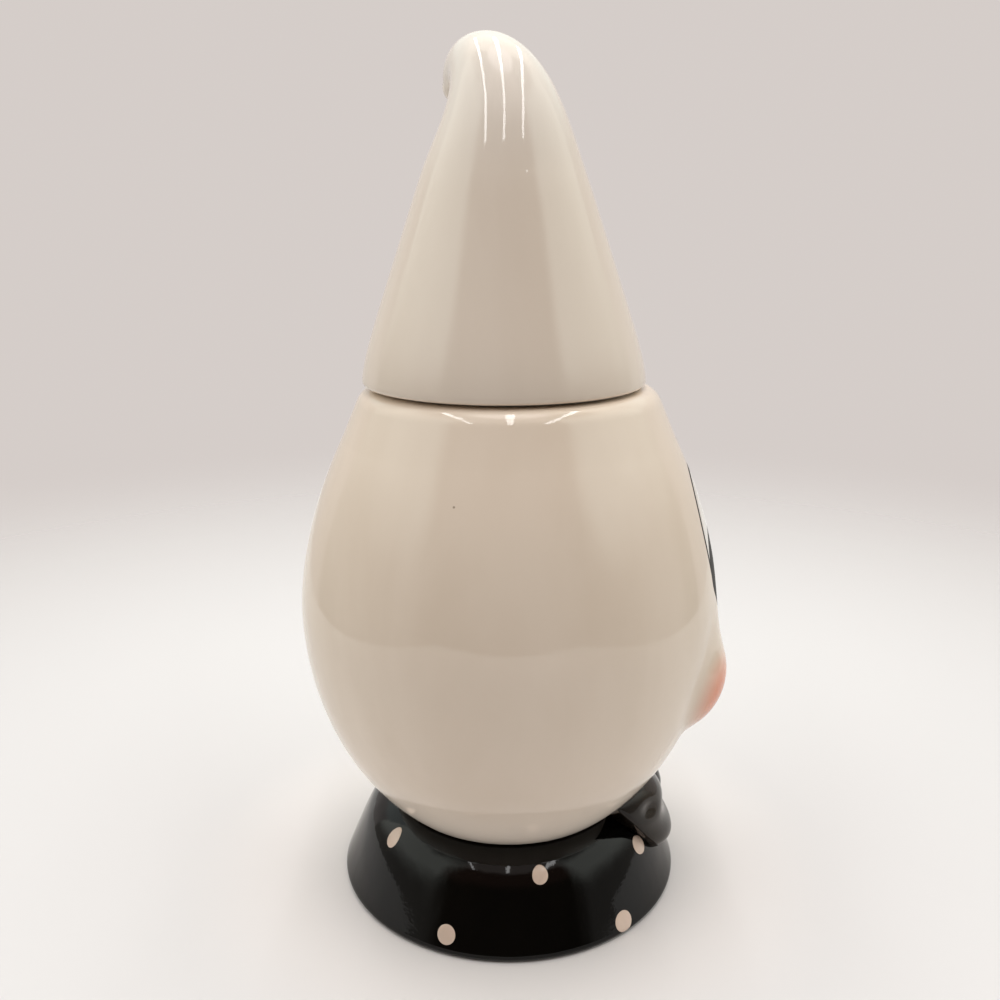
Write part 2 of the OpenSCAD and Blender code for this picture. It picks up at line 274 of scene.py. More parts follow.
@dataclass(frozen=True)
class Glaze:
    """A glossy fired glaze with cloudy colour, a slightly uneven surface, a few pinholes and, where given,
    painted light: a paler colour towards one end of a height range.
    """

    name: str
    thick: Colour
    thin: Colour
    pinhole: Colour
    gloss: float = 0.03
    dulled: float = 0.035
    dulled_between: Span = (0.45, 0.75)
    dulled_finer: float = 3.0
    dulled_detail: float = 3.0
    ior: float = 1.54
    cloud_scale: float = 22.0
    cloud_detail: float = 4.0
    cloud_warp: float = 0.4
    thin_between: Span = (0.36, 0.68)
    run_stretch: float = 0.3
    run_scale: float = 95.0
    run_depth: float = 0.11
    fine_stretch: float = 0.07
    fine_scale: float = 330.0
    fine_depth: float = 0.022
    ripple_scale: float = 26.0
    ripple: float = 0.22
    peel_finer: float = 14.0
    peel_depth: float = 0.012
    pinhole_scale: float = 75.0
    pinhole_size: float = 0.035
    pinhole_core: float = 0.5
    pinhole_share: float = 0.05
    pinhole_sure: float = 0.9
    # painted light: a paler colour that the glaze takes towards one end of painted_light_between, a height
    # range in mm, standing in for light that falls there
    painted_light: Colour | None = None
    painted_light_between: Span = (0.0, 1.0)

    def body(self, graph: Graph, at: Sock) -> Sock:
        """Gives the colour of the fired glaze.

        Args:
            graph: The material's graph.
            at: The point on the piece.

        Returns:
            The colour, with runs, pinholes and any painted light.
        """
        runs = graph.noise(at, self.cloud_scale, self.cloud_detail, self.cloud_warp, self.run_stretch)
        colour = graph.mix(graph.ease(runs, *self.thin_between), self.thick, self.thin)
        # painted light: lighter towards one end of a height range, standing in for light, not a colour of the
        # glaze
        if self.painted_light is not None:
            z = graph.parts(at)[2] / MM
            colour = graph.mix(graph.ease(z, *self.painted_light_between), colour, self.painted_light)
        cells = graph.node("ShaderNodeTexVoronoi", {"Vector": at, "Scale": self.pinhole_scale})
        share, size = self.pinhole_share, self.pinhole_size
        chance = graph.ease(graph.parts(cells["Color"])[0], share, self.pinhole_sure * share)
        near = graph.ease(cells["Distance"], size, self.pinhole_core * size)
        return graph.mix(near * chance, colour, self.pinhole)

    def painted(self, graph: Graph, at: Sock, colour: Sock) -> tuple[Sock, Sock | None]:
        """Lays nothing over the glaze; a painted glaze gives its paint here, and where the paint is matt."""
        return colour, None

    def make(self) -> bpy.types.Material:
        """Makes the material.

        Returns:
            The new material.
        """
        material, graph, at = new_material(self.name)
        colour, matt = self.painted(graph, at, self.body(graph, at))
        dulling = graph.noise(at, self.dulled_finer * self.cloud_scale, self.dulled_detail)
        swell = graph.noise(at, self.ripple_scale) * self.ripple
        runs = graph.noise(at, self.run_scale, stretch=self.run_stretch**2) * self.run_depth
        fine = graph.noise(at, self.fine_scale, stretch=self.fine_stretch) * self.fine_depth
        peel = graph.noise(at, self.peel_finer * self.ripple_scale) * self.peel_depth
        shader = graph.node("ShaderNodeBsdfPrincipled", {
            "Base Color": colour,
            "Roughness": graph.ease(dulling, *self.dulled_between) * self.dulled + self.gloss,
            "Normal": graph.bumped(swell + runs + fine + peel),
            "IOR": self.ior,
        })
        surface = shader["BSDF"]
        if matt is not None:
            flat = graph.node("ShaderNodeBsdfDiffuse", {"Color": colour})
            surface = graph.node("ShaderNodeMixShader", {0: matt, 1: surface, 2: flat["BSDF"]})["Shader"]
        graph.node("ShaderNodeOutputMaterial", {"Surface": surface})
        return material


class Oval(NamedTuple):
    """A painted oval: its centre, its half sizes and the shares of its size between which it fades in."""

    bearing: float
    z: float
    half_bearing: float
    above: float
    below: float
    fade: Span


@dataclass(frozen=True)
class FaceGlaze(Glaze):
    """The jar's white glaze with a plain painted face: two tall eyes, a short smile and rosy cheeks."""

    ink: Colour = (0.016, 0.013, 0.011)
    ink_matt: float = 0.8
    eye_white: Colour = (0.84, 0.80, 0.75)
    rose: Colour = (0.80, 0.27, 0.14)
    eye: Oval = Oval(21.0, 131.0, 12.7, 22.5, 25.5, (1.01, 0.99))
    eye_line: Span = (0.075, 0.045)
    pupil: Oval = Oval(22.0, 120.5, 11.4, 13.0, 13.0, (1.02, 0.98))
    glint: Oval = Oval(19.6, 127.0, 1.9, 3.2, 3.2, (1.1, 0.85))
    smile_z: float = 84.5
    smile_rise: float = 5.0
    smile_half_bearing: float = 12.0
    smile_line: Span = (0.9375, 0.5625)
    smile_end: Span = (1.04, 0.97)
    cheek_bearing: float = 32.0
    cheek_z: float = 78.5
    cheek_fade: Span = (17.5, 5.0)
    cheek_depth: float = 0.95
    arc_per_degree: float = 1.26
    # darker brown along the head's lowest edge, where it meets the collar
    seam: Colour = (0.09, 0.055, 0.035)
    seam_z: float = 31.0
    seam_height: Span = (0.9, 0.2)

    def painted(self, graph: Graph, at: Sock, colour: Sock) -> tuple[Sock, Sock | None]:
        """Paints the face over the glaze.

        Args:
            graph: The material's graph.
            at: The point on the piece.
            colour: The glaze's colour.

        Returns:
            The colour with the face on its outside, and the share of matt ink.
        """
        bare = colour
        x, y, height = graph.parts(at)
        z = height / MM
        bearing = graph.math("DEGREES", graph.math("ARCTAN2", abs(x), -y))

        def spread(oval: Oval) -> Sock:
            """Measures a point against an oval.

            Args:
                oval: The oval.

            Returns:
                0 at its centre and 1 on its edge.
            """
            tall: Sock | float = oval.below
            if oval.above != oval.below:
                tall = graph.math("GREATER_THAN", z, oval.z) * (oval.above - oval.below) + oval.below
            return graph.reach((bearing - oval.bearing) / oval.half_bearing, (z - oval.z) / tall)

        # darker brown along the head's lowest edge, where it meets the collar
        colour = graph.mix(graph.ease(z - self.seam_z, *self.seam_height), colour, self.seam)
        far = graph.reach((bearing - self.cheek_bearing) * self.arc_per_degree, z - self.cheek_z)
        colour = graph.mix(graph.ease(far, *self.cheek_fade) * self.cheek_depth, colour, self.rose)

        eye = spread(self.eye)
        colour = graph.mix(graph.ease(eye, *self.eye.fade), colour, self.eye_white)
        line = graph.ease(abs(eye - 1.0), *self.eye_line)
        ink = graph.math("MAXIMUM", line, graph.ease(spread(self.pupil), *self.pupil.fade))
        colour = graph.mix(ink, colour, self.ink)
        colour = graph.mix(graph.ease(spread(self.glint), *self.glint.fade), colour, self.eye_white)

        share = bearing / self.smile_half_bearing
        off = abs(z - (share * share * self.smile_rise + self.smile_z))
        smile = graph.ease(off, *self.smile_line) * graph.ease(share, *self.smile_end)
        outside = graph.node("ShaderNodeAttribute", attribute_name=OUTSIDE)["Fac"]
        colour = graph.mix(outside, bare, graph.mix(smile, colour, self.ink))
        return colour, graph.math("MAXIMUM", ink, smile) * outside * self.ink_matt


@dataclass(frozen=True)
class Silicone:
    """The seal's soft, slightly cloudy rubber."""

    name: str = "grey_silicone"
    pale: Colour = (0.52, 0.50, 0.46)
    deep: Colour = (0.40, 0.385, 0.35)
    deep_between: Span = (0.35, 0.65)
    roughness: float = 0.38
    dulled: float = 0.12
    ior: float = 1.41
    cloud_scale: float = 60.0
    cloud_detail: float = 3.0
    grain_scale: float = 900.0
    grain: float = 0.03

    def make(self) -> bpy.types.Material:
        """Makes the material.

        Returns:
            The new material.
        """
        material, graph, at = new_material(self.name)
        clouds = graph.noise(at, self.cloud_scale, self.cloud_detail)
        shader = graph.node("ShaderNodeBsdfPrincipled", {
            "Base Color": graph.mix(graph.ease(clouds, *self.deep_between), self.pale, self.deep),
            "Roughness": clouds * self.dulled + self.roughness,
            "Normal": graph.bumped(graph.noise(at, self.grain_scale) * self.grain),
            "IOR": self.ior,
        })
        graph.node("ShaderNodeOutputMaterial", {"Surface": shader["BSDF"]})
        return material


def softened(corners: Sequence[tuple[float, float, float]], steps: int = 5) -> Outline:
    """Rounds the corners of an outline.

    Args:
        corners: Radius, height and the length that the rounding takes off each side of the corner.
        steps: Points on each rounding.

    Returns:
        The outline's points, with a corner of length 0 kept as it is.
    """
    points: Outline = []
    last = len(corners) - 1
    for index, (r, z, cut) in enumerate(corners):
        if cut == 0 or index in (0, last):
            points.append((r, z))
            continue
        here = Vector((r, z))
        before = here + (Vector(corners[index - 1][:2]) - here).normalized() * cut
        after = here + (Vector(corners[index + 1][:2]) - here).normalized() * cut
        for step in range(steps + 1):
            t = step / steps
            point = before * (1 - t) ** 2 + here * 2 * t * (1 - t) + after * t * t
            points.append((point.x, point.y))
    return points


def spaced(start: float, end: float, pitch: float) -> list[float]:
    """Gives evenly spaced numbers from start to end, about a pitch apart."""
    return list(np.linspace(start, end, max(2, round(abs(end - start) / pitch) + 1)))


def ring(r: float, z: float, segments: int, shift_y: float = 0.0) -> np.ndarray:
    """Gives a level circle of points round the axis, moved along Y by shift_y."""
    angle = np.linspace(0, 2 * math.pi, segments, endpoint=False)
    return np.stack([r * np.sin(angle), shift_y - r * np.cos(angle), np.full(segments, z)], axis=1)


def set_in(radius: Callable[[float], float], at: float, wall: float, near: float = 0.01) -> Span:
    """Finds the point that lies a wall's thickness square behind a turned surface.

    Args:
        radius: Gives the surface's radius at a height.
        at: The height on the surface.
        wall: The wall's thickness.
        near: Half the height over which the slope is taken.

    Returns:
        The point's radius and height.
    """
    slope = (radius(at + near) - radius(at - near)) / (2 * near)
    square = math.sqrt(1 + slope * slope)
    return radius(at) - wall / square, at + wall * slope / square


def hump(value: float, centre: float, reach: float) -> float:
    """Gives a smooth hump of height 1, which falls off over a reach on both sides of its centre."""
    return math.exp(-(((value - centre) / reach) ** 2))


def filled(value: float, full: float) -> float:
    """Rises along a quarter of a sine from 0 at 0 to 1 at full, and stays there."""
    return math.sin(math.pi / 2 * min(1, value / full))


def skinned(name: str, rings: Sequence[np.ndarray], looped: bool) -> bpy.types.Object:
    """Skins a closed mesh over rings of equally many points.

    Args:
        name: The object's name.
        rings: Closed rings of points in millimetres.
        looped: True where the last ring joins the first; otherwise a fan closes each end.

    Returns:
        The new object, at the origin, smooth, with its faces pointing outwards.
    """
    count, rows = len(rings[0]), len(rings)
    points = np.concatenate(rings)
    faces = [
        (a * count + j, a * count + (j + 1) % count, b * count + (j + 1) % count, b * count + j)
        for a, b in ((i, (i + 1) % rows) for i in range(rows if looped else rows - 1))
        for j in range(count)
    ]
    if not looped:
        points = np.concatenate([points, [rings[0].mean(axis=0), rings[-1].mean(axis=0)]])
        low, high, last = rows * count, rows * count + 1, (rows - 1) * count
        faces += [(low, (j + 1) % count, j) for j in range(count)]
        faces += [(high, last + j, last + (j + 1) % count) for j in range(count)]
    mesh = bpy.data.meshes.new(name)
    mesh.from_pydata((points * MM).tolist(), [], faces)
    work = bmesh.new()
    work.from_mesh(mesh)
    if work.calc_volume(signed=True) < 0:
        bmesh.ops.reverse_faces(work, faces=work.faces)
    work.to_mesh(mesh)
    work.free()
    mesh.shade_smooth()
    return new_object(name, mesh)


def assign(piece: bpy.types.Object, finish: bpy.types.Material, body: Body, slot: Slot, *nodes: str) -> None:
    """Gives a piece its finish and its body, and hides the solids that it replaces.

    Args:
        piece: The piece.
        finish: Its material.
        body: What it moves with.
        slot: The finish that the record names for it; not used.
        nodes: The solids that it replaces.
    """
    piece.data.materials.clear()
    piece.data.materials.append(finish)
    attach(piece, body.value)
    if nodes:
        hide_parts(*nodes)
    log.info("%s: %d faces, %s, rides %s", piece.name, len(piece.data.polygons), finish.name, body.value)


@dataclass
class Head:
    """The white jar: an egg-shaped hollow head with raised cheeks, a rounded lip and a mouth."""

    width: float = 144.9
    widest_z: float = 104.5
    neck_z: float = 31.0
    neck_width: float = 83.7
    rim_z: float = 180.0
    shoulder_width: float = 94.5
    shoulder_swell: float = 1.78
    lip_width: float = 98.2
    lip_start: float = 164.0
    lip_round: float = 5.0
    lip_steps: int = 8
    rim_from: float = 2.5
    rim_to: float = 2.0
    wall: float = 5.0
    wall_margin: float = 1.0
    mouth_width: float = 78.4
    mouth_depth: float = 12.0
    mouth_flare: float = 7.0
    mouth_round: float = 0.9
    throat_round: float = 2.0
    flare_round: float = 1.2
    passage_width: float = 75.0
    passage_round: float = 1.5
    spigot_width: float = 80.5
    spigot_depth: float = 2.5
    spigot_round: float = 0.5
    cheek_ball: float = 47.0
    cheek_proud: float = 6.7
    cheek_z: float = 84.0
    cheek_bearing: float = 29.0
    cheek_fairing: float = 15.0
    cheek_rise: float = 40.0
    cheek_blend: float = 3.0
    segments: int = 240
    pitch: float = 1.1
    inner_pitch: float = 1.76

    def egg(self, z: float) -> float:
        """Follows the plain egg, without lip and cheeks.

        Args:
            z: The height.

        Returns:
            The radius there.
        """
        half = self.width / 2
        if z < self.widest_z:
            fall = (self.widest_z - self.neck_z) / math.sqrt(1 - (self.neck_width / self.width) ** 2)
            return half * math.sqrt(1 - ((self.widest_z - z) / fall) ** 2)
        share = (z - self.widest_z) / (self.rim_z - self.widest_z)
        return half - (half - self.shoulder_width / 2) * share**self.shoulder_swell

    def cheeks(self, base: np.ndarray) -> np.ndarray:
        """Swells a ring of the outer wall over the two cheeks.

        Args:
            base: The plain ring.

        Returns:
            The ring with both cheeks blended in.
        """
        ball = self.cheek_ball / 2
        centre = self.egg(self.cheek_z) + self.cheek_proud - ball
        lift = base[0, 2] - self.cheek_z
        if lift > self.cheek_rise:
            return base
        fair = math.radians(self.cheek_fairing)
        if lift > ball * math.sin(fair):
            reach = ball * math.cos(fair) - (lift - ball * math.sin(fair)) * math.tan(fair)
        else:
            reach = math.copysign(math.sqrt(abs(ball * ball - lift * lift)), ball - abs(lift))
        plain = np.hypot(base[:, 0], base[:, 1])
        bearing = np.degrees(np.arctan2(np.abs(base[:, 0]), -base[:, 1]))
        off = np.radians(bearing - self.cheek_bearing)
        inside = math.copysign(reach * reach, reach) - (centre * np.sin(off)) ** 2
        bulge = centre * np.cos(off) + np.sign(inside) * np.sqrt(np.abs(inside))
        near = np.maximum(0.0, self.cheek_blend - np.abs(bulge - plain))
        swollen = np.maximum(bulge, plain) + near * near / (4 * self.cheek_blend)
        outwards = np.where(bearing < 90, swollen, plain) / plain
        return base * np.stack([outwards, outwards, np.ones_like(plain)], axis=1)

    def build(self) -> bpy.types.Object:
        """Builds the jar as one closed shell, from the neck up the outside, over the lip and down the inside.

        Returns:
            The jar, with its outside marked for the painted face.
        """
        mouth, passage, spigot = self.mouth_width / 2, self.passage_width / 2, self.spigot_width / 2
        heights = spaced(self.neck_z, self.lip_start, self.pitch)
        rings = [self.cheeks(ring(self.egg(z), z, self.segments)) for z in heights]
        edge = softened([
            (self.egg(self.lip_start), self.lip_start, 0),
            (self.lip_width / 2, self.rim_z, self.lip_round),
            (mouth + self.rim_from, self.rim_z, 0),
        ], self.lip_steps)[1:]
        throat, foot = self.rim_z - self.mouth_depth, self.neck_z - self.spigot_depth
        down = spaced(self.rim_z - self.wall_margin, self.neck_z + self.wall_margin, self.inner_pitch)
        wall = [set_in(self.egg, z, self.wall) for z in down]
        wall = [p for p in wall if p[0] > passage and p[1] < throat - self.mouth_flare]
        inside = softened([
            (mouth + self.rim_to, self.rim_z, 0),
            (mouth, self.rim_z, self.mouth_round),
            (mouth, throat, self.throat_round),
            (*wall[0], self.flare_round),
            *((r, z, 0) for r, z in wall[1:]),
            (passage, self.neck_z, self.passage_round),
            (passage, foot, self.spigot_round),
            (spigot, foot, self.spigot_round),
            (spigot, self.neck_z, 0),
        ])
        rings += [ring(r, z, self.segments) for r, z in edge + inside]
        made = skinned("head", rings, looped=True)
        shown = len(heights) * self.segments
        mark = made.data.attributes.new(OUTSIDE, "FLOAT", "POINT")
        mark.data.foreach_set("value", [1.0] * shown + [0.0] * (len(made.data.vertices) - shown))
        return made

    def dress(self, finish: bpy.types.Material) -> None:
        """Builds the jar and gives it its finish."""
        assign(self.build(), finish, Body.JAR, Slot.WHITE, "head_shell")


@dataclass
class Collar:
    """The black flared collar that the head stands on, with its floor and foot ring."""

    neck_z: float = 31.0
    neck_width: float = 83.7
    width: float = 123.0
    flare_width: float = 98.5
    shoulder_turn: float = 8.0
    foot_round: float = 2.0
    foot_steps: int = 8
    foot_width: float = 9.0
    foot_inner_round: float = 0.5
    foot_recess: float = 2.0
    recess_slant: float = 0.8
    recess_round: float = 0.7
    floor: float = 5.0
    floor_round: float = 2.5
    wall: float = 5.0
    wall_slant: float = 1.08
    wall_foot: float = 3.0
    wall_round: float = 0.5
    passage_width: float = 75.0
    rebate_z: float = 28.35
    rebate_width: float = 80.8
    rebate_round: float = 0.4
    shelf_z: float = 25.85
    shelf_round: float = 0.8
    floor_rings: Span = (0.02, 0.5)
    segments: int = 240
    pitch: float = 0.8
    inner_pitch: float = 1.6

    def radius(self, z: float) -> float:
        """Follows the flared side, whose shoulder turns in under the head.

        Args:
            z: The height.

        Returns:
            The radius there.
        """
        share = max(0.0, z - self.foot_round) / (self.neck_z - self.foot_round)
        foot, flare, neck = self.width / 2, self.flare_width / 2, self.neck_width / 2
        return foot - (foot - flare) * share - (flare - neck) * share**self.shoulder_turn

    def build(self) -> bpy.types.Object:
        """Builds the collar as one closed shell, from the recess's middle round to the floor's middle.

        Returns:
            The collar.
        """
        half, inner = self.width / 2, self.width / 2 - self.foot_round - self.foot_width
        foot: Outline = []
        for step in range(self.foot_steps + 1):
            turn = math.radians(90 * step / self.foot_steps)
            r = half - self.foot_round * (1 - math.sin(turn))
            foot.append((r, self.foot_round * (1 - math.cos(turn))))
        flare = [(self.radius(z), z) for z in spaced(self.foot_round, self.neck_z, self.pitch)]
        under = softened([
            *((inner * share, self.foot_recess, 0) for share in self.floor_rings),
            (inner - self.recess_slant, self.foot_recess, self.recess_round),
            (inner, 0.0, self.foot_inner_round),
            (*foot[0], 0),
        ])
        floor_z = self.foot_recess + self.floor
        rebate, passage = self.rebate_width / 2, self.passage_width / 2
        down = spaced(self.shelf_z - self.wall, floor_z + self.wall_foot, self.inner_pitch)
        inside = [(self.radius(z) - self.wall * self.wall_slant, z) for z in down]
        within = softened([
            (flare[-1][0], self.neck_z, 0),
            (rebate, self.neck_z, self.rebate_round),
            (rebate, self.rebate_z, self.rebate_round),
            (passage, self.rebate_z, self.rebate_round),
            (passage, self.shelf_z, self.shelf_round),
            (*inside[0], self.wall_round),
            *((r, z, 0) for r, z in inside[1:]),
            (inside[-1][0], floor_z, self.floor_round),
            *((passage * share, floor_z, 0) for share in reversed(self.floor_rings)),
        ])
        outline = under + foot[1:] + flare[1:] + within[1:]
        return skinned("collar", [ring(r, z, self.segments) for r, z in outline], looped=False)

    def dress(self, finish: bpy.types.Material) -> None:
        """Builds the collar and gives it its finish."""
        assign(self.build(), finish, Body.JAR, Slot.BLACK, "collar_base")


@dataclass
class Bow:
    """The moulded bow on the front of the neck: a round knot between two pleated, leaning loops."""

    head: Head
    collar: Collar
    knot_bearing: float = 8.5
    loop_bearing: float = 46.0
    loop_lean: float = 20.0
    drop: float = 17.0
    rise: float = 9.0
    knot_pinch: float = 0.62
    loop_proud: float = 6.2
    knot_proud: float = 8.5
    loop_thin: float = 0.7
    pleats: float = 1.5
    pleat_depth: float = 0.3
    pocket_depth: float = 0.5
    bed_gap: float = 0.12
    seam_gap: float = 0.12
    lobe_at: float = 0.12
    pocket_at: float = 0.74
    pocket_span: float = 0.11
    pocket_station: float = 0.74
    pocket_reach: float = 0.13
    tallest_at: float = 0.6
    fullest_at: float = 0.5
    end_drop: float = 0.28
    end_flat: float = 0.6
    end_edge: float = 0.05
    end_least: float = 0.003
    end_crowding: float = 1.35
    knot_flat: float = 0.28
    knot_round: float = 0.6
    fold_gather: float = 1.5
    squareness: int = 4
    stations: int = 70
    across: int = 44

    def bed(self, z: float) -> float:
        """Gives the radius that the bow's back rests on."""
        return (self.collar.radius(z) if z < self.head.neck_z else self.head.egg(z)) + self.bed_gap

    def section(
        self, bearing: float, lean: float, low: float, high: float,
        proud: float, thin: float, fold: float, pocket: float,
    ) -> np.ndarray:
        """Gives one closed cross section of the bow.

        Args:
            bearing: Where the section stands.
            lean: How far its top leans past its foot, in degrees.
            low: Height of its lower edge.
            high: Height of its upper edge.
            proud: How far it stands off its bed.
            thin: Share of its thickness that it loses towards the upper edge.
            fold: Depth of the pleats, as a share of the thickness.
            pocket: Depth of the pocket, as a share of the thickness.

        Returns:
            The section's points, up the front and down the back.
        """
        shares = [(1 - math.cos(math.pi * k / self.across)) / 2 for k in range(self.across + 1)]
        foot, crest = self.bed(low), self.bed(high)
        points = []
        for u in shares:
            pleat = fold * (1 - math.cos(2 * math.pi * self.pleats * (u - self.lobe_at))) / 2
            hollow = pocket * hump(u, self.pocket_at, self.pocket_span)
            swell = math.sqrt(1 - abs(2 * u - 1) ** self.squareness)
            front = foot + (crest - foot) * u + proud * swell * (1 - thin * u * u) * (1 - pleat - hollow)
            points.append((front, u))
        points += [(self.bed(low + (high - low) * u), u) for u in reversed(shares[1:-1])]
        placed = []
        for r, u in points:
            angle = math.radians(bearing + lean * (u - 0.5))
            placed.append((r * math.sin(angle), -r * math.cos(angle), low + (high - low) * u))
        return np.array(placed)

    def levels(self, flare: float) -> Span:
        """Gives the bow's edges between the knot's height and a loop's full height.

        Args:
            flare: 0 for the knot's height, 1 for the loop's.

        Returns:
            The lower and the upper edge.
        """
        full_low, full_high = self.head.neck_z - self.drop, self.head.neck_z + self.rise
        knot_low = self.head.neck_z - self.drop * self.knot_pinch
        knot_high = self.head.neck_z + self.rise * self.knot_pinch
        return knot_low + (full_low - knot_low) * flare, knot_high + (full_high - knot_high) * flare

    def loop_section(self, t: float) -> np.ndarray:
        """Gives one section of a loop.

        Args:
            t: Share of the loop's length from the knot.

        Returns:
            The section's points, on the figure's left.
        """
        past_tall = max(0.0, (t - self.tallest_at) / (1 - self.tallest_at))
        past_full = max(0.0, (t - self.fullest_at) / (1 - self.fullest_at))
        flare = filled(t, self.tallest_at) * (1 - self.end_drop * past_tall**2)
        gathered = 1 - filled(t, self.fullest_at)
        swell = 1 - self.knot_flat * gathered - self.end_flat * past_full**2
        edge = max(0.0, 1 - (1 - t) / self.end_edge)
        rounded = math.sqrt(max(self.end_least, 1 - edge * edge))
        start = self.knot_bearing + math.degrees(self.seam_gap / self.bed(self.head.neck_z))
        low, high = self.levels(flare)
        return self.section(
            start + (self.loop_bearing - start) * t,
            self.loop_lean * t,
            low,
            high,
            proud=self.loop_proud * swell * rounded,
            thin=self.loop_thin * t,
            fold=self.pleat_depth * (self.fold_gather - t),
            pocket=self.pocket_depth * hump(t, self.pocket_station, self.pocket_reach),
        )

    def loop(self, side: Side) -> bpy.types.Object:
        """Builds one loop.

        Args:
            side: The figure's side that it is on.

        Returns:
            The loop.
        """
        shares = [1 - (1 - k / self.stations) ** self.end_crowding for k in range(self.stations + 1)]
        mirror = np.array([side.value, 1, 1])
        rings = [self.loop_section(t) * mirror for t in shares]
        return skinned(f"bow_{side.name.lower()}", rings, looped=False)

    def knot(self) -> bpy.types.Object:
        """Builds the knot.

        Returns:
            The knot.
        """
        low, high = self.levels(0.0)
        rings = []
        for share in np.linspace(-1, 1, self.stations // 2):
            proud = self.knot_proud * math.sqrt(1 - self.knot_round * share * share)
            bearing = self.knot_bearing * share
            rings.append(self.section(bearing, 0, low, high, proud, thin=0, fold=0, pocket=0))
        return skinned("bow_middle", rings, looped=False)

    def dress(self, finish: bpy.types.Material) -> None:
        """Builds the knot and both loops and gives them their finish.

        Args:
            finish: The bow's material.
        """
        assign(self.knot(), finish, Body.JAR, Slot.BLACK, "bow_knot")
        assign(self.loop(Side.RIGHT), finish, Body.JAR, Slot.BLACK, "bow_loop_right")
        assign(self.loop(Side.LEFT), finish, Body.JAR, Slot.BLACK, "bow_loop_left")


